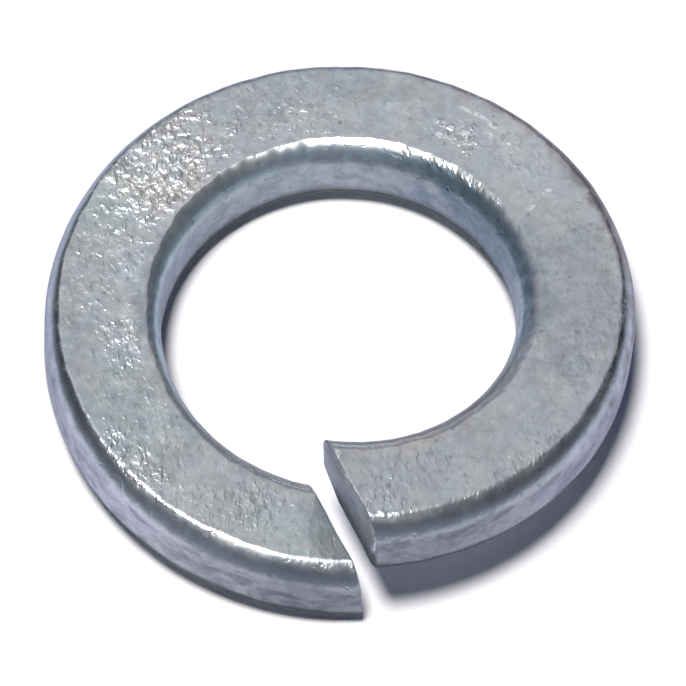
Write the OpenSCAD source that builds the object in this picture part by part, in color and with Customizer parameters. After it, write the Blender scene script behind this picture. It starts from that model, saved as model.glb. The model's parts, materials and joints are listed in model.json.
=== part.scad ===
// Split spring lock washer. One turn of a rounded rectangular section is wound left-handed, so that
// it rises clockwise seen from above, and its two ends are sheared at a slant and sprung apart.
// It lies as it comes to rest on a flat surface, which is Z = 0. The split faces -Y, and the middle
// of the coil stands over the origin.

/* [Coil] */
// Diameter of the bore
bore_d = 12.6; // [11:0.1:30]
// Rise of the coil over one full turn
pitch = 3.2; // [1:0.1:6]

/* [Section] */
// Width of the section, from the bore to the rim
section_w = 4.2; // [3:0.1:5]
// Thickness of the section, along the bore
section_t = 3; // [1.5:0.1:4]
// Radius of the two long edges on the bore's side
bore_edge_r = 0.8; // [0.2:0.05:1.2]
// Radius of the two long edges on the rim's side
rim_edge_r = 0.75; // [0.2:0.05:1.2]

/* [Split] */
// Gap between the two cut faces, seen from above
split_gap = 0.5; // [0.1:0.05:1]
// Slant of the cut from a radius, seen from above, in degrees
split_slant = 23.5; // [0:0.5:28]
// Lean of the cut faces from the bore's direction, in degrees
split_lean = 4; // [0:0.5:6]
// Small bevel round each cut face
cut_bevel = 0.1; // [0.02:0.01:0.2]

/* [Hidden] */

// Facets: steps along the coil, and steps round each long edge
coil_steps = 120;
edge_steps = 4;
// A long edge stops this many degrees short of its wall and runs on straight through it, so that
// the bore and the rim, which are true cylinders, cut it cleanly
run_out = 12;

bore_r = bore_d / 2;
rim_r = bore_r + section_w;
mid_r = (bore_r + rim_r) / 2;

// A long edge is never rounder than its section allows
edge_limit = 0.4 * min(section_w, section_t);
bore_edge = min(bore_edge_r, edge_limit);
rim_edge = min(rim_edge_r, edge_limit);

// The section, as [radius, height] points anticlockwise from the lower rim edge

// One long edge from its flat to just past its wall: side is 1 at the rim and -1 at the bore,
// and up is 1 at the top and -1 at the bottom
function long_edge(wall_r, edge_r, side, up) =
    let (
        centre = [wall_r - side * edge_r, up * (section_t / 2 - edge_r)],
        last = 90 - run_out,
        past = 2 * edge_r * tan(run_out / 2)
    )
    [
        for (i = [0 : edge_steps])
            let (a = last * i / edge_steps)
            centre + edge_r * [side * sin(a), up * cos(a)],
        centre + edge_r * [side * sin(last), up * cos(last)]
            + past * [side * cos(last), -up * sin(last)]
    ];

function reversed(list) = [for (i = [len(list) - 1 : -1 : 0]) list[i]];

section = concat(
    long_edge(rim_r, rim_edge, 1, -1),
    reversed(long_edge(rim_r, rim_edge, 1, 1)),
    long_edge(bore_r, bore_edge, -1, 1),
    reversed(long_edge(bore_r, bore_edge, -1, -1))
);

// The same section drawn in towards its middle by the bevel
section_in = [
    for (p = section) [
        mid_r + (p[0] - mid_r) * (1 - 2 * cut_bevel / section_w),
        p[1] * (1 - 2 * cut_bevel / section_t)
    ]
];

// The coil: turn counts degrees clockwise from -Y, from the low end to the high end

function coil_point(p, turn) = [
    -p[0] * sin(turn),
    -p[0] * cos(turn),
    p[1] + pitch * (turn / 360 - 0.5)
];

// The turn at which a point of the section meets the cut at one end, "back" behind the cut face:
// low is 1 at the low end and -1 at the high end. The cut leans and the coil rises, so the turn is
// found again from the height that it gives, until it settles.
function cut_turn(p, low, back, tries = 5) =
    let (
        whole = low > 0 ? 0 : 360,
        turn = tries == 0 ? whole : cut_turn(p, low, back, tries - 1),
        off_middle = low * (split_gap / 2 + back) + tan(split_lean) * coil_point(p, turn)[2]
    )
    whole + asin((mid_r * sin(split_slant) + off_middle) / p[0]) - split_slant;

low_turns = [for (p = section) cut_turn(p, 1, cut_bevel)];
high_turns = [for (p = section) cut_turn(p, -1, cut_bevel)];

rings = concat(
    [[for (p = section_in) coil_point(p, cut_turn(p, 1, 0))]],
    [
        for (i = [0 : coil_steps]) [
            for (j = [0 : len(section) - 1])
                coil_point(section[j], low_turns[j] + (high_turns[j] - low_turns[j]) * i / coil_steps)
        ]
    ],
    [[for (p = section_in) coil_point(p, cut_turn(p, -1, 0))]]
);
coil_points = [for (ring = rings) for (p = ring) p];

count = len(section);
last_ring = len(rings) - 1;
coil_faces = concat(
    [[for (j = [0 : count - 1]) j]],
    [
        for (i = [0 : last_ring - 1], j = [0 : count - 1], half = [0, 1])
            let (
                a = i * count + j,
                b = i * count + (j + 1) % count
            )
            half == 0 ? [a, a + count, b] : [b, a + count, b + count]
    ],
    [[for (j = [count - 1 : -1 : 0]) last_ring * count + j]]
);

// How it rests. The lower bore edge touches at the tip of the low end, and the lower rim edge on the
// far side of the coil, where it rolls until the middle of the coil lies between the two. These
// are the resting surface's slopes, seen from the coil: away from the tip, and to the side of that.
tip_r = bore_r + bore_edge;
far_r = rim_r - rim_edge;
tip_turn = cut_turn([tip_r, -section_t / 2], 1, 0);
slope_away = pitch / (2 * (tip_r + far_r));
slope_side = pitch / (2 * PI * far_r);
slope = slope_away * [sin(tip_turn), cos(tip_turn)] + slope_side * [cos(tip_turn), -sin(tip_turn)];
surface_up = [-slope[0], -slope[1], 1] / norm([slope[0], slope[1], 1]);
lowest = min([for (p = coil_points) p * surface_up]);

module round_bar(radius) {
    cylinder(r = radius, h = 2 * (pitch + section_t), center = true, $fn = 180);
}

module coil() {
    difference() {
        intersection() {
            polyhedron(points = coil_points, faces = coil_faces, convexity = 6);
            round_bar(rim_r);
        }
        round_bar(bore_r);
    }
}

module washer() {
    color([0.68, 0.70, 0.72])
    translate([0, 0, -lowest])
    rotate(a = atan(norm(slope)), v = [-slope[1], slope[0], 0])
    coil();
}

washer();
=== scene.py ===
"""Split spring lock washer in zinc-plated steel, lying on a pale floor under soft light."""

import json
import math

import bmesh
import bpy
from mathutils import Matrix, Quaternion, Vector

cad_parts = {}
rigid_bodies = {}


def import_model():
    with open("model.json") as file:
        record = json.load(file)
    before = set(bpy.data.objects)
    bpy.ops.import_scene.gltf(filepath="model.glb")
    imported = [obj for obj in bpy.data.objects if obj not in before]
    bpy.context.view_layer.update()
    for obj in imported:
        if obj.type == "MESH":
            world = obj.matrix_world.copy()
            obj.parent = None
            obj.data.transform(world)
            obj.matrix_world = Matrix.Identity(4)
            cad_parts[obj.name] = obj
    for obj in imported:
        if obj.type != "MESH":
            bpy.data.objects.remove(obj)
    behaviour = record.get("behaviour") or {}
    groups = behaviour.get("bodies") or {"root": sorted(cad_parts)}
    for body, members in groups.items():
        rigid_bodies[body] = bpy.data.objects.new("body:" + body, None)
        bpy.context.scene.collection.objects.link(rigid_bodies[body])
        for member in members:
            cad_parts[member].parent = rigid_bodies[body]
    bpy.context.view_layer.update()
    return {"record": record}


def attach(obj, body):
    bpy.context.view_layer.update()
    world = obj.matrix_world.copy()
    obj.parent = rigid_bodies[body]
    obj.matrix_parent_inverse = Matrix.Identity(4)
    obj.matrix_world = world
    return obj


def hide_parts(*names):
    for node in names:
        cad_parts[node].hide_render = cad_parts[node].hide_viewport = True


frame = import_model()

# The washer is modelled in millimetres and brought to metres when it is set down
MM = 0.001

# The coil and its section
BORE_R = 6.3
SECTION_W = 4.2
SECTION_T = 3.0
PITCH = 3.2
MID_R = BORE_R + SECTION_W / 2
# The long edges are rolled: each is an arc that meets its flat in a soft crease, because its own
# top lies this much above the flat
BORE_EDGE_R = 1.12
RIM_EDGE_R = 0.93
ABOVE_FLAT = 0.055
LOWER_EDGE_R = 0.88

# The split
GAP = 0.5
SLANT = math.radians(23.5)
LEAN = math.radians(4)
CUT_EDGE_R = 0.1

# Where the flats are pitted: the turn in degrees, how far out from the bar's middle, the patch's
# half length and half width in millimetres, and how thickly
PITTED = (
    (133, 0.15, 3.6, 2.5, 1.0),
    (82, -0.6, 1.9, 1.5, 0.7),
    (52, 1.1, 1.9, 1.0, 0.8),
    (22, -0.2, 1.4, 1.5, 0.6),
    (172, -0.3, 2.8, 1.7, 0.55),
    (211, -0.1, 1.3, 0.7, 0.9),
    (352, 1.0, 1.2, 1.1, 0.5),
    (363, -1.4, 0.4, 0.35, 0.8),
    (318, 1.1, 2.2, 0.8, 0.4),
    (344, -0.6, 2.4, 1.3, 0.4),
    (226, 0.5, 1.6, 1.0, 0.5),
    (105, 0.3, 3.2, 2.4, 0.45),
    (62, -0.2, 3.4, 2.2, 0.35),
    (163, 0.5, 4.4, 2.0, 0.42),
    (193, -0.4, 2.6, 1.4, 0.35),
    (255, 1.2, 2.4, 1.0, 0.3),
    (292, 0.6, 2.2, 1.6, 0.3),
)

# Only this stretch of the bore's edge is blistered, at the back right
BLISTERED_EDGE = (223, -1.45, 2.6, 0.32)

# Where the flats have scuffs, brightened as painted glints: the turn, how far out, half length and
# half width
SCUFFS_AND_GLINTS = (
    (212, 1.0, 0.75, 0.13),
    (217, 0.9, 0.26, 0.14),
    (218, 0.5, 0.28, 0.15),
    (207, -0.4, 0.28, 0.16),
    (213, 0.1, 0.30, 0.15),
    (239, 0.3, 0.15, 0.26),
    (241, -0.6, 0.17, 0.34),
    (362.5, -1.1, 0.15, 0.30),
    (360.5, -0.2, 0.12, 0.18),
    (358.5, 0.6, 0.12, 0.18),
)

# How finely it is made
EDGE_STEPS = 14
FLAT_STEPS = 26
WALL_STEPS = 10
COIL_STEPS = 600
# Steps of the small rounding round each cut
CUT_STEPS = 4
# Degrees that the bar is wound past each cut, before it is cut
SPARE = 12
# A point within so many degrees of the split may belong to either end of the bar
NEAR_SPLIT = 25
# A face with more corners than this can only be a cut face
MANY_CORNERS = 40
# The section's flats and walls are its only edges longer than this
LONG_EDGE = 0.7
# Points closer together than this become one when a plane cuts the mesh, and round a cut face
SAME_POINT = 0.0005
SAME_CORNER = 0.03


# Working by hand in code


def deselect_all():
    for thing in bpy.context.scene.objects:
        thing.select_set(False)


def pick(kind, test):
    """Selects only the vertices, edges or faces of the edited piece that pass the test."""
    bpy.ops.mesh.select_mode(type={"verts": "VERT", "edges": "EDGE", "faces": "FACE"}[kind])
    bpy.ops.mesh.select_all(action="DESELECT")
    work = bmesh.from_edit_mesh(bpy.context.object.data)
    for part in getattr(work, kind):
        if test(part):
            part.select_set(True)
    work.select_flush_mode()
    bmesh.update_edit_mesh(bpy.context.object.data)


def edge_middle(edge):
    return (edge.verts[0].co + edge.verts[1].co) / 2


# The washer's shape


def turn_of(point):
    """Degrees clockwise from the split, from -180 to 180, of a point beside the coil's axis."""
    return math.degrees(math.atan2(-point.x, -point.y))


def rise(turn):
    """How high the middle of the bar is at a turn, over the middle of the coil."""
    return PITCH * (turn / 360 - 0.5)


def rounded_section(turn):
    """The section as a closed wire, where the coil is at this turn."""
    deselect_all()
    place = math.radians(-90 - turn)
    bpy.ops.mesh.primitive_plane_add(size=1)
    bar = bpy.context.object
    bar.name = bar.data.name = "washer_coil"
    bar.scale = (SECTION_W, SECTION_T + 2 * ABOVE_FLAT, 1)
    bpy.ops.object.transform_apply(location=False, rotation=False, scale=True)
    bpy.ops.object.mode_set(mode="EDIT")
    pick("verts", lambda v: v.co.x > 0)
    bpy.ops.mesh.bevel(offset=RIM_EDGE_R, segments=EDGE_STEPS, affect="VERTICES", profile=0.5)
    pick("verts", lambda v: v.co.x < 0.01 - SECTION_W / 2)
    bpy.ops.mesh.bevel(offset=BORE_EDGE_R, segments=EDGE_STEPS, affect="VERTICES", profile=0.5)
    for up in (1, -1):
        pick("faces", lambda f: True)
        bpy.ops.mesh.bisect(
            plane_co=(0, up * SECTION_T / 2, 0),
            plane_no=(0, up, 0),
            clear_outer=True,
            threshold=SAME_POINT,
        )
    pick("faces", lambda f: True)
    bpy.ops.mesh.delete(type="ONLY_FACE")
    for steps, along in ((FLAT_STEPS, 0), (WALL_STEPS, 1)):
        pick("edges", lambda e: e.calc_length() > LONG_EDGE and abs(edge_middle(e)[along]) < 0.1)
        bpy.ops.mesh.subdivide(number_cuts=steps - 1)
    bpy.ops.object.mode_set(mode="OBJECT")
    bar.rotation_euler = (math.pi / 2, 0, place)
    bar.location = (MID_R * math.cos(place), MID_R * math.sin(place), rise(turn))
    bpy.ops.object.transform_apply(location=True, rotation=True, scale=True)
    return bar


def wind(bar, turns):
    """Winds the section down the coil, anticlockwise."""
    screw = bar.modifiers.new("coil", "SCREW")
    screw.axis = "Z"
    screw.angle = math.radians(turns)
    screw.screw_offset = -PITCH * turns / 360
    screw.steps = screw.render_steps = COIL_STEPS
    screw.use_smooth_shade = True
    bpy.ops.object.modifier_apply(modifier=screw.name)


def at_end(face, low):
    """Whether a face is near one end of the coil, low 1 or high -1."""
    middle = face.calc_center_median()
    turn = turn_of(middle)
    return abs(turn) < NEAR_SPLIT and (middle.z < PITCH * turn / 360) == (low > 0)


def cut_end(low):
    """Cuts one end of the coil off on its slanting plane, and closes it."""
    pick("faces", lambda f: at_end(f, low))
    bpy.ops.mesh.bisect(
        plane_co=(-low * (GAP / 2 + CUT_EDGE_R) / math.cos(SLANT), -MID_R, 0),
        plane_no=Vector((math.cos(SLANT), math.sin(SLANT), math.tan(LEAN))).normalized(),
        use_fill=True,
        clear_outer=low > 0,
        clear_inner=low < 0,
        threshold=SAME_POINT,
    )


def round_cut(low):
    """Brings the cut face forward to its place, with a small rounding round it."""
    pick("faces", lambda f: len(f.verts) > MANY_CORNERS and at_end(f, low))
    bpy.ops.mesh.select_mode(type="VERT")
    bpy.ops.mesh.remove_doubles(threshold=SAME_CORNER)
    pick("faces", lambda f: len(f.verts) > MANY_CORNERS and at_end(f, low))
    for i in range(CUT_STEPS):
        here, there = (math.radians(90 * k / CUT_STEPS) for k in (i, i + 1))
        bpy.ops.mesh.inset(
            thickness=CUT_EDGE_R * (math.cos(here) - math.cos(there)),
            depth=CUT_EDGE_R * (math.sin(there) - math.sin(here)),
        )


def turn_outwards(bar):
    """Makes every face of the closed piece point outwards."""
    bpy.ops.mesh.select_all(action="SELECT")
    bpy.ops.mesh.normals_make_consistent(inside=False)
    if bmesh.from_edit_mesh(bar.data).calc_volume(signed=True) < 0:
        bpy.ops.mesh.flip_normals()


def keep_lower_edges_small(out, up):
    """Where a point of the two lower edges goes, which are less rounded than the upper ones."""
    side = 1 if out > 0 else -1
    made = RIM_EDGE_R if side > 0 else BORE_EDGE_R
    small = LOWER_EDGE_R / made
    corner = Vector((side * SECTION_W / 2, -SECTION_T / 2 - ABOVE_FLAT))
    inwards = abs(corner.x - out)
    upwards = up - corner.y
    if upwards < made:
        if inwards < made:
            inwards *= small
        upwards = max(ABOVE_FLAT, upwards * small)
    return corner.x - side * inwards, corner.y + upwards


def crease_from_wall(edge_r):
    """How far in from its wall an edge's crease lies."""
    return edge_r - math.sqrt(edge_r**2 - (edge_r - ABOVE_FLAT) ** 2)


def widen_edge(inwards, edge_r, wide):
    """Where a point so far in from a wall goes when its edge is made wider, and the flat shorter."""
    crease = crease_from_wall(edge_r)
    share = max(0, inwards - crease) / (SECTION_W / 2 - crease)
    if share >= 1:
        return inwards
    return min(inwards, crease) * wide * (1 - share) + SECTION_W / 2 * share


def wobble(along, start):
    """A slow unevenness along the bar, between about -1 and 1."""
    return (
        0.45 * math.sin(1.9 * along + start)
        + 0.35 * math.sin(4.7 * along + 2.3 * start)
        + 0.20 * math.sin(9.1 * along + 3.1 * start)
    )


def wear_rim(along, out, up):
    """Where a point of the rim's upper edge goes, which is worn wide and flat towards the split."""
    much = math.cos(along / MID_R / 2) ** 4
    wide = 0.70 + 0.58 * much + 0.07 * wobble(along, 1.0)
    inwards = widen_edge(SECTION_W / 2 - out, RIM_EDGE_R, wide)
    # and the middle of its arc lies flatter
    turned = math.atan2(
        out - SECTION_W / 2 + RIM_EDGE_R, up - SECTION_T / 2 - ABOVE_FLAT + RIM_EDGE_R
    )
    crease_turned = math.acos(1 - ABOVE_FLAT / RIM_EDGE_R)
    round_arc = (turned - crease_turned) / (math.pi / 2 - crease_turned)
    if 0 < round_arc < 1:
        flatter = 0.2 * much * round_arc * (1 - round_arc)
        inwards += flatter
        up -= flatter
    return SECTION_W / 2 - inwards, up


def wear_bore(along, out, up):
    """Where a point of the bore's upper edge goes, which is narrower on the left."""
    on_left = math.exp(-(((along / MID_R - math.radians(78)) / math.radians(42)) ** 2))
    wide = 1 - 0.30 * on_left + 0.07 * wobble(along, 4.0)
    return widen_edge(SECTION_W / 2 + out, BORE_EDGE_R, wide) - SECTION_W / 2, up


def wear_edges(bar):
    for vertex, place in zip(bar.data.vertices, bar.data.attributes["bar"].data):
        along, out, up = place.vector
        if up < 0:
            new_out, new_up = keep_lower_edges_small(out, up)
        elif out > 0:
            new_out, new_up = wear_rim(along, out, up)
        else:
            new_out, new_up = wear_bore(along, out, up)
        vertex.co.xy = vertex.co.xy.normalized() * (MID_R + new_out)
        vertex.co.z += new_up - up
        place.vector = (along, new_out, new_up)


def mark_pitted(bar):
    """Weighs each point by how thickly the bar is pitted there."""
    pitted = bar.vertex_groups.new(name="pitted")
    for vertex, place in zip(bar.data.vertices, bar.data.attributes["bar"].data):
        along, out, _ = place.vector
        much = max(
            thickly
            * (
                1
                - ((along - math.radians(turn) * MID_R) / half_length) ** 2
                - ((out - across) / half_width) ** 2
            )
            for turn, across, half_length, half_width, thickly in PITTED
        )
        # none beyond the creases
        much *= min(1, max(0, (1.5 - abs(out - 0.15)) / 0.4))
        if much > 0:
            pitted.add([vertex.index], much, "REPLACE")


def roll_waves(bar):
    """Sinks the surface a little, unevenly, as rolling, tumbling and pickling leave it."""
    # lumps that are longer to the front than across shine as round spots under the lamp
    stretch = bpy.data.objects.new("stretch", None)
    stretch.scale = (1 / 1.4, 1 / 0.9, 1)
    bpy.context.scene.collection.objects.link(stretch)
    bpy.context.view_layer.update()
    for name, size, depth, group in (
        ("rolling", 2.6, 0.024, ""),
        ("tumbling", 0.9, 0.014, ""),
        ("pitting", 0.40, 0.06, "pitted"),
    ):
        texture = bpy.data.textures.new(name, "CLOUDS")
        texture.noise_scale = size
        texture.noise_depth = 1
        wave = bar.modifiers.new(name, "DISPLACE")
        wave.texture = texture
        wave.texture_coords = "OBJECT"
        wave.texture_coords_object = stretch
        wave.direction = "NORMAL"
        wave.mid_level = 1
        wave.strength = depth
        wave.vertex_group = group
        bpy.ops.object.modifier_apply(modifier=wave.name)
    bpy.data.objects.remove(stretch)


def mark_bar(bar):
    """Stores each point's place on the bar: along it, out from its middle and up, in millimetres."""
    places = bar.data.attributes.new("bar", "FLOAT_VECTOR", "POINT")
    for vertex, place in zip(bar.data.vertices, places.data):
        turn = turn_of(vertex.co)
        if abs(turn) > NEAR_SPLIT:
            turn %= 360
        elif vertex.co.z > PITCH * turn / 360:
            turn += 360
        place.vector = (
            math.radians(turn) * MID_R,
            vertex.co.xy.length - MID_R,
            vertex.co.z - rise(turn),
        )


def set_down(bar):
    """Leans the coil onto the bore's axis and brings it to metres."""
    mount = frame["record"]["mounts"][0]
    axis = Vector(mount["axis"])
    bar.rotation_mode = "QUATERNION"
    bar.rotation_quaternion = Vector((0, 0, 1)).rotation_difference(axis)
    bar.location = Vector(mount["pos_m"])
    bar.scale = (MM, MM, MM)
    bpy.ops.object.transform_apply(location=True, rotation=True, scale=True)
    bar.rotation_mode = "XYZ"


def make_washer():
    bar = rounded_section(360 + SPARE)
    wind(bar, 360 + 2 * SPARE)
    bpy.ops.object.mode_set(mode="EDIT")
    for low in (1, -1):
        cut_end(low)
    turn_outwards(bar)
    for low in (1, -1):
        round_cut(low)
    bpy.ops.object.mode_set(mode="OBJECT")
    mark_bar(bar)
    wear_edges(bar)
    mark_pitted(bar)
    roll_waves(bar)
    set_down(bar)
    deselect_all()
    bar.select_set(True)
    bpy.ops.object.shade_smooth_by_angle(angle=math.radians(40))
    return bar


washer = make_washer()


# Finishes


class Amount:
    """A number that changes over a surface, which can be reckoned with as any number."""

    def __init__(self, finish, socket):
        self.finish = finish
        self.socket = socket

    def __add__(self, other):
        return self.finish.maths("ADD", self, other)

    def __sub__(self, other):
        return self.finish.maths("SUBTRACT", self, other)

    def __rsub__(self, other):
        return self.finish.maths("SUBTRACT", other, self)

    def __mul__(self, other):
        return self.finish.maths("MULTIPLY", self, other)

    def __truediv__(self, other):
        return self.finish.maths("DIVIDE", self, other)

    __radd__ = __add__
    __rmul__ = __mul__


class Finish:
    """A material, or the room's light, and the nodes it is made of."""

    def __init__(self, name, owner=None):
        self.owner = owner or bpy.data.materials.new(name)
        self.owner.use_nodes = True
        self.tree = self.owner.node_tree
        self.tree.nodes.clear()

    def node(self, kind, settings=None, *values, output=0, **named):
        """Adds a node, gives it its settings and then its values or links, and returns an output."""
        made = self.tree.nodes.new(kind)
        for key, value in (settings or {}).items():
            setattr(made, key, value)
        inputs = [s for s in made.inputs if s.enabled]
        given = list(zip(inputs, values)) + [
            (next(s for s in inputs if s.name == key.replace("_", " ")), value)
            for key, value in named.items()
        ]
        for socket, value in given:
            if isinstance(value, Amount):
                self.tree.links.new(value.socket, socket)
            elif value is not None:
                if socket.type == "RGBA" and len(value) == 3:
                    value = (*value, 1)
                socket.default_value = value
        outputs = [s for s in made.outputs if s.enabled]
        if isinstance(output, str):
            return Amount(self, next(s for s in outputs if s.name == output))
        return Amount(self, outputs[output]) if outputs else None

    def maths(self, operation, *values):
        return self.node("ShaderNodeMath", {"operation": operation}, *values)

    def between(self, low, high, value):
        """0 where the value is low and less, 1 where it is high and more."""
        return self.node(
            "ShaderNodeMapRange",
            {"interpolation_type": "SMOOTHSTEP"},
            value,
            low,
            high,
            0.0,
            1.0,
        )

    def noise(self, vector, scale, detail=2.0, roughness=0.5, distortion=0.0):
        return self.node(
            "ShaderNodeTexNoise",
            None,
            Vector=vector,
            Scale=scale,
            Detail=detail,
            Roughness=roughness,
            Distortion=distortion,
        )

    def vectors(self, operation, *values, **named):
        return self.node("ShaderNodeVectorMath", {"operation": operation}, *values, **named)

    def blend(self, factor, first, second):
        """The first colour where the factor is 0, the second where it is 1."""
        return self.node("ShaderNodeMix", {"data_type": "RGBA"}, factor, first, second)

    def shade(self, colour, amount):
        """The colour, lighter or darker by an amount."""
        return self.vectors("SCALE", colour, Scale=amount)


# Where the plating has stains, and where patches of its edges are painted lighter or darker as painted
# light and shade: the turn in degrees, how far out from the bar's middle, the patch's half length and
# half width in millimetres, and what it does to the colour
GREENISH = (0.97, 1.02, 0.98)
TAN = (1.06, 1.01, 0.94)
# pale patches on the flats, and painted light on some roundings and the bore's wall
PALE_AND_LIT = (1.10, 1.10, 1.10)
# a dull patch on a flat, and painted shade on some roundings and the rim's side
DULL_AND_SHADED = (0.86, 0.87, 0.89)
# painted shade on the bore's rounded edge at the right
EDGE_SHADE = (0.60, 0.68, 0.73)
BROWN = (0.72, 0.67, 0.66)
RUSTY = (0.78, 0.66, 0.58)
# painted sheen on the rim's side at the front left
PAINTED_SHEEN = (1.30, 1.28, 1.27)
GREYED = (0.89, 0.91, 0.925)
WARM = (1.13, 1.09, 1.04)
STAINED_AND_SHADED = (
    (12, 0.4, 2.2, 1.3, GREENISH),
    (6, 0.8, 2.2, 1.6, PALE_AND_LIT),
    (118, 0.8, 1.8, 1.3, GREENISH),
    (60, 0.0, 3.0, 1.6, GREENISH),
    (8, -1.6, 1.8, 0.8, TAN),
    (340, -1.6, 3.0, 0.7, TAN),
    (225, 0.4, 3.0, 2.0, PALE_AND_LIT),
    (275, 0.2, 4.4, 2.4, DULL_AND_SHADED),
    (240, -1.7, 7.0, 0.9, EDGE_SHADE),
    (238, 1.7, 2.0, 0.5, BROWN),
    (42, 2.15, 5.0, 0.6, PAINTED_SHEEN),
    (180, -1.6, 4.5, 0.4, PALE_AND_LIT),
    (48, -1.75, 3.0, 0.6, PALE_AND_LIT),
    (268, -1.4, 4.0, 0.5, DULL_AND_SHADED),
    (92, -1.6, 3.0, 0.6, DULL_AND_SHADED),
    (180, 2.1, 9.0, 0.3, DULL_AND_SHADED),
    (8, 1.9, 1.5, 0.6, DULL_AND_SHADED),
    (232, 2.1, 8.5, 0.7, RUSTY),
    (350, 1.75, 2.2, 0.5, PALE_AND_LIT),
    (270, -2.2, 4.0, 0.4, PALE_AND_LIT),
    (82, 0.4, 7.0, 2.6, GREYED),
    (165, 1.2, 6.0, 1.6, GREYED),
    (133, 0.5, 3.4, 1.8, WARM),
)


def cosine(degrees):
    return math.cos(math.radians(degrees))


class ZincPlating(Finish):
    """Dull zinc plating: mottled, pitted in patches, slate on the roundings, blotchy on the walls,
    with painted shade on the roundings, walls and lower edges, painted light and shade on some
    patches, and painted glints on its scuffs.
    """

    def __init__(self):
        super().__init__("zinc_plating")
        self.find_place()
        self.find_patterns()
        self.find_blisters()
        self.find_scuffs()
        # painted shade: the roundings and walls take darker slate and lilac copies of the plating's
        # colour
        colour = self.blend(self.rolled, self.flats(), self.roundings())
        colour = self.blend(self.steep, colour, self.walls())
        colour = self.stained(colour)
        colour = self.dirty(colour)
        cut = self.on_cut_faces()
        colour = self.blend(cut, colour, self.slab())
        # painted shade: the rounded lower edges are darkened, as a contact shadow along the foot
        under = self.between(0.02, -0.20, self.facing) * self.between(-0.95, -0.75, self.facing)
        under = under * (1 - cut)
        colour = self.shade(colour, 1 - 0.75 * under)
        colour = self.specked(colour)
        shader = self.node(
            "ShaderNodeBsdfPrincipled",
            None,
            Base_Color=colour,
            Metallic=0.86 * (1 - 0.8 * under),
            Roughness=0.22 + 0.08 * self.cloudy + 0.09 * self.thick + 0.06 * self.rolled + 0.4 * under,
            Specular_Tint=(0.55, 0.57, 0.68),
            Normal=self.bump(),
        )
        self.node("ShaderNodeOutputMaterial", None, shader)

    def find_place(self):
        """Where a point is, in millimetres and on the bar, and which way its surface faces."""
        place = self.node("ShaderNodeTexCoord", None, output="Object")
        self.mm = self.vectors("SCALE", place, Scale=1000.0)
        self.bar = self.node(
            "ShaderNodeAttribute",
            {"attribute_type": "GEOMETRY", "attribute_name": "bar"},
            output="Vector",
        )
        self.along, self.out, self.up = (
            self.node("ShaderNodeSeparateXYZ", None, self.bar, output=name) for name in "XYZ"
        )
        # 0 behind, where the coil has made half its turn, and 1 at the split
        self.from_half = self.maths("ABSOLUTE", self.along / (math.pi * MID_R) - 1)
        # 0 at the bore, 1 at the rim
        self.outer = self.between(-1.0, 1.0, self.out)
        self.normal = self.node("ShaderNodeNewGeometry", None, output="Normal")
        axis = Vector(frame["record"]["mounts"][0]["axis"])
        self.facing = self.vectors("DOT_PRODUCT", self.normal, axis, output="Value")
        self.level = self.maths("ABSOLUTE", self.facing)

    def find_patterns(self):
        """The uneven patterns that the layers share, and where the roundings and walls begin."""
        self.cloudy = self.noise(self.vectors("ADD", self.mm, (2, 9, 4)), 1.3, 3.0, 0.6)
        self.grain = self.noise(self.mm, 4.2, 3.0, 0.65, 0.6)
        self.uneven = self.noise(self.vectors("ADD", self.mm, (4, 4, 9)), 2.2, 3.0, 0.6, 0.5)
        self.mottled = self.noise(self.vectors("ADD", self.mm, (8, 2, 5)), 3.0, 4.0, 0.7)
        # blotches and faint streaks that the rolls left along the sides
        along_sides = self.vectors("MULTIPLY", self.bar, (1.0, 1.2, 1.35))
        self.drawn = self.noise(along_sides, 1.4, 4.0, 0.6, 0.5)
        self.ragged = 1.6 * (self.cloudy - 0.5)
        self.wandering = self.level + 0.12 * self.ragged + 0.05 * (self.grain - 0.5)
        self.rolled = self.between(cosine(24), cosine(44), self.wandering)
        self.steep = self.between(cosine(42), cosine(80), self.wandering)

    def patch(self, ragged, turn, out, half_length, half_width):
        """1 in the middle of a patch and 0 outside it, with a ragged border."""
        from_middle = self.vectors(
            "MULTIPLY",
            self.vectors("SUBTRACT", self.bar, (math.radians(turn) * MID_R, out, 0)),
            (1 / half_length, 1 / half_width, 0),
        )
        away = self.vectors("LENGTH", from_middle, output="Value")
        return self.between(1.1, 0.4, away + ragged)

    def find_blisters(self):
        """Lumps of uneven size, crowded in the pitted patches of the flats."""
        thick = 0.10 + 0.30 * self.between(0.5, 0.66, self.noise(self.bar, 0.45, 1.0))
        for turn, out, half_length, half_width, much in PITTED:
            here = self.patch(self.ragged, turn, out, half_length, half_width)
            thick = self.maths("MAXIMUM", thick, much * here)
        thick = thick * (1 - self.rolled) * self.between(-1.55, -0.95, self.out)
        blistered = self.patch(self.ragged, *BLISTERED_EDGE)
        self.thick = self.maths("MAXIMUM", thick, 0.5 * blistered)
        few = 0.10 - 0.14 * self.thick
        tall = self.vectors("MULTIPLY", self.mm, (1.4, 0.9, 1.0))
        self.lumps = self.noise(tall, 2.9, 1.5, 0.45, 0.3)
        self.blisters = self.between(0.44 + few, 0.74 + few, self.lumps)
        self.small = self.noise(self.vectors("ADD", tall, (5, 1, 8)), 4.0, 1.5, 0.5, 0.3)
        self.crumbs = self.between(0.45 + few, 0.65 + few, self.small)

    def find_scuffs(self):
        self.scuffed = 0.0
        for turn, out, half_length, half_width in SCUFFS_AND_GLINTS:
            here = self.patch(0.8 * (self.small - 0.5), turn, out, half_length, half_width)
            self.scuffed = self.maths("MAXIMUM", self.scuffed, here)

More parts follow.
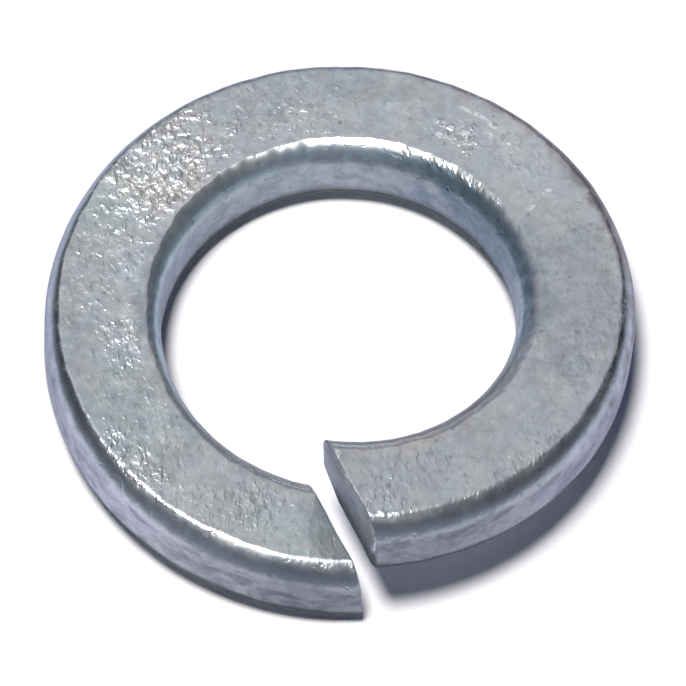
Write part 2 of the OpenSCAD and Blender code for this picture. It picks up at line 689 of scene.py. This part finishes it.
    def bump(self):
        """The fine relief, whose heights are in millimetres."""
        scars = self.noise(self.vectors("MULTIPLY", self.mm, (1.2, 0.85, 1.0)), 1.7, 2.0, 0.6, 0.8)
        pits = self.between(0.58, 0.74, scars)
        waves = self.noise(self.mm, 1.3, 2.0)
        fine = self.noise(self.mm, 16.0, 2.0, 0.6)
        relief = self.thick * (0.032 * self.lumps + 0.022 * self.blisters + 0.013 * self.crumbs)
        relief = relief + 0.010 * waves + 0.004 * self.grain + 0.0006 * fine - 0.008 * pits
        relief = relief + 0.012 * self.rolled * self.uneven
        relief = relief + 0.006 * self.scuffed
        relief = relief + 0.008 * self.drawn * self.steep
        return self.node("ShaderNodeBump", None, Strength=1.0, Distance=MM, Height=relief)

    def flats(self):
        """Bluish and warm greys, mottled."""
        tint = self.noise(self.mm, 0.7, 3.0, 0.55, 0.4)
        warm = self.between(0.42, 0.58, tint)
        grey = self.blend(warm, (0.63, 0.675, 0.705), (0.67, 0.685, 0.69))
        grey = self.shade(grey, 0.80 + 0.44 * self.cloudy)
        lumpy = self.thick * self.blisters
        return self.shade(grey, 0.55 + 0.20 * self.grain + 0.62 * self.mottled + 0.10 * lumpy)

    def roundings(self):
        """Slate, bluer at the bore and darker at the rim, darkened towards the creases as painted
        shade.
        """
        slate = self.blend(self.outer, (0.535, 0.655, 0.725), (0.435, 0.49, 0.565))
        slate = self.shade(
            slate, 0.26 + 0.56 * self.cloudy + 0.58 * self.uneven + 0.36 * self.mottled
        )
        # painted shade: darkest at the creases, lighter towards the walls, most on the rim
        by_crease = self.between(cosine(62), cosine(30), self.wandering)
        darker = (0.14 + 0.46 * self.outer) * by_crease
        return self.shade(slate, (1.04 + 0.14 * self.outer) - darker)

    def walls(self):
        """Blotchy lilac greys, darkened as painted shade, more even and less blue in the bore than on
        the rim, and darker on the rim near the split.
        """
        blotchy = self.between(0.34, 0.62, self.drawn)
        side = self.blend(blotchy, (0.215, 0.232, 0.275), (0.395, 0.40, 0.465))
        side = self.blend(0.45 * (1 - self.outer), side, (0.31, 0.325, 0.375))
        less_blue = self.blend(self.outer, (0.93, 0.985, 0.975), (1, 1, 1))
        side = self.vectors("MULTIPLY", side, less_blue)
        near_split = self.outer * self.between(0.7, 0.92, self.from_half)
        return self.shade(side, (0.80 + 0.56 * self.mottled) * (1 - 0.34 * near_split))

    def stained(self, colour):
        """The colour with its stains and painted light and shade, and its scuffs brightened as painted
        glints.
        """
        for turn, out, half_length, half_width, stain_and_shade in STAINED_AND_SHADED:
            here = self.patch(self.ragged, turn, out, half_length, half_width)
            if stain_and_shade == EDGE_SHADE:
                # this painted shade lies on the rounded edges alone
                here = here * self.rolled
            colour = self.vectors("MULTIPLY", colour, self.blend(here, (1, 1, 1), stain_and_shade))
        # painted glints: the scuffs are brightened past the plating's own colour
        painted_glint = self.scuffed * self.scuffed * self.between(0.34, 0.54, self.small)
        return self.shade(colour, 1 + 0.85 * painted_glint)

    def dirty(self, colour):
        """The colour, browned on the bore's edge near the split, with dirt in the rim's crease."""
        brown = self.between(-1.35, -1.8, self.out) * self.between(0.5, 0.75, self.from_half)
        brown = brown * self.between(0.5, 1.0, self.up) * (0.3 + 1.2 * self.cloudy)
        colour = self.blend(brown, colour, (0.30, 0.275, 0.285))
        crease = self.between(cosine(14), cosine(22), self.level)
        crease = crease * self.between(cosine(46), cosine(34), self.level)
        # the dirt is mostly on the right
        on_right = self.between(0.42, 0.50, self.from_half) * self.between(0.70, 0.56, self.from_half)
        on_right = on_right * self.maths("GREATER_THAN", self.along, math.pi * MID_R)
        elsewhere = self.between(0.80, 0.55, self.from_half) * (1 - on_right)
        dirt = crease * self.between(0.5, 1.4, self.out) * self.between(0.36, 0.52, self.mottled)
        much = dirt * (0.8 * on_right + 0.65 * elsewhere)
        return self.blend(much, colour, (0.075, 0.07, 0.09))

    def on_cut_faces(self):
        """1 on the two cut faces, 0 elsewhere."""
        cut_normal = Vector((math.cos(SLANT), math.sin(SLANT), 0))
        over = self.vectors("DOT_PRODUCT", self.normal, cut_normal, output="Value")
        over = self.maths("ABSOLUTE", over)
        return self.between(0.90, 0.97, over) * self.between(0.92, 0.94, self.from_half)

    def slab(self):
        """The plain slate of the cut faces, darker along their lower edges."""
        streaky = self.between(0.35, 0.65, self.drawn)
        slate = self.blend(streaky, (0.50, 0.515, 0.545), (0.68, 0.69, 0.72))
        return self.shade(slate, 0.43 + 0.30 * self.between(-1.35, -0.3, self.up))

    def specked(self, colour):
        """The colour with small dark specks, and darker between the blisters."""
        specks = self.node(
            "ShaderNodeTexVoronoi", None, Vector=self.mm, Scale=1.7, output="Distance"
        )
        dark = self.between(0.14, 0.02, specks + 0.7 * (self.small - 0.5))
        colour = self.shade(colour, 1 - 0.28 * dark)
        hollows = self.between(0.42, 0.30, self.lumps) * self.thick
        return self.shade(colour, 1 - 0.42 * hollows)


def paper(name, colour):
    finish = Finish(name)
    shader = finish.node("ShaderNodeBsdfPrincipled", None, Base_Color=colour, Roughness=0.9)
    finish.node("ShaderNodeOutputMaterial", None, shader)
    return finish.owner


washer.data.materials.clear()
washer.data.materials.append(ZincPlating().owner)
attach(washer, "root")
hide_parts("washer")


# The floor, the light and the camera


def lay_floor():
    deselect_all()
    bpy.ops.mesh.primitive_plane_add(size=4)
    floor = bpy.context.object
    floor.name = floor.data.name = "floor"
    floor.data.materials.append(paper("white_paper", (0.985, 0.985, 0.99)))


def light():
    """One lamp nearly overhead, and a room that is brighter behind and above than in front."""
    lamp = bpy.data.lights.new("overhead_light", "SUN")
    lamp.energy = 3.2
    lamp.angle = math.radians(12.5)
    lamp.color = (1.0, 0.995, 0.985)
    sun = bpy.data.objects.new("overhead_light", lamp)
    bpy.context.scene.collection.objects.link(sun)
    to_left, to_front = math.radians(6), math.radians(5)
    towards = Vector((-math.tan(to_left), -math.tan(to_front), 1))
    sun.rotation_mode = "QUATERNION"
    sun.rotation_quaternion = towards.to_track_quat("Z", "Y")

    room = Finish("room", bpy.data.worlds.new("room"))
    direction = room.node("ShaderNodeTexCoord", None, output="Generated")
    behind = room.node("ShaderNodeSeparateXYZ", None, direction, output="Y")
    softbox = Vector((-0.11, 0.53, 0.84)).normalized()
    towards_box = room.vectors("DOT_PRODUCT", direction, softbox, output="Value")
    glow = room.between(cosine(46), cosine(14), towards_box)
    back = room.between(0.25, 0.85, behind)
    front = room.between(-0.2, -0.8, behind)
    strength = 0.06 + 0.19 * back + 0.095 * front + 0.36 * glow
    colour = room.blend(glow, (0.74, 0.79, 1.0), (0.94, 0.95, 1.0))
    # the room fills the shadow on the floor less than the polished metal shows it
    fills = room.node("ShaderNodeLightPath", None, output="Is Diffuse Ray")
    colour = room.blend(fills, colour, (0.22, 0.27, 1.0))
    shader = room.node("ShaderNodeBackground", None, colour, strength * (1 - 0.55 * fills))
    room.node("ShaderNodeOutputWorld", None, shader)
    bpy.context.scene.world = room.owner


def look():
    """The camera, as the photograph was taken."""
    data = bpy.data.cameras.new("camera")
    data.sensor_width = 36
    data.lens = 384.55
    data.clip_start, data.clip_end = 0.01, 20
    camera = bpy.data.objects.new("camera", data)
    bpy.context.scene.collection.objects.link(camera)
    azimuth, elevation, roll = (math.radians(a) for a in (0.391, 62.844, -1.513))
    away = Vector(
        (
            math.sin(azimuth) * math.cos(elevation),
            -math.cos(azimuth) * math.cos(elevation),
            math.sin(elevation),
        )
    )
    target = Vector((0.138, 0.043, 0.869))
    distance = 262.5
    camera.location = (target + distance * away) * MM
    camera.rotation_mode = "QUATERNION"
    level = (-away).to_track_quat("-Z", "Y")
    camera.rotation_quaternion = level @ Quaternion((0, 0, 1), roll)
    bpy.context.scene.camera = camera


lay_floor()
light()
look()
bpy.context.scene.view_settings.view_transform = "Standard"
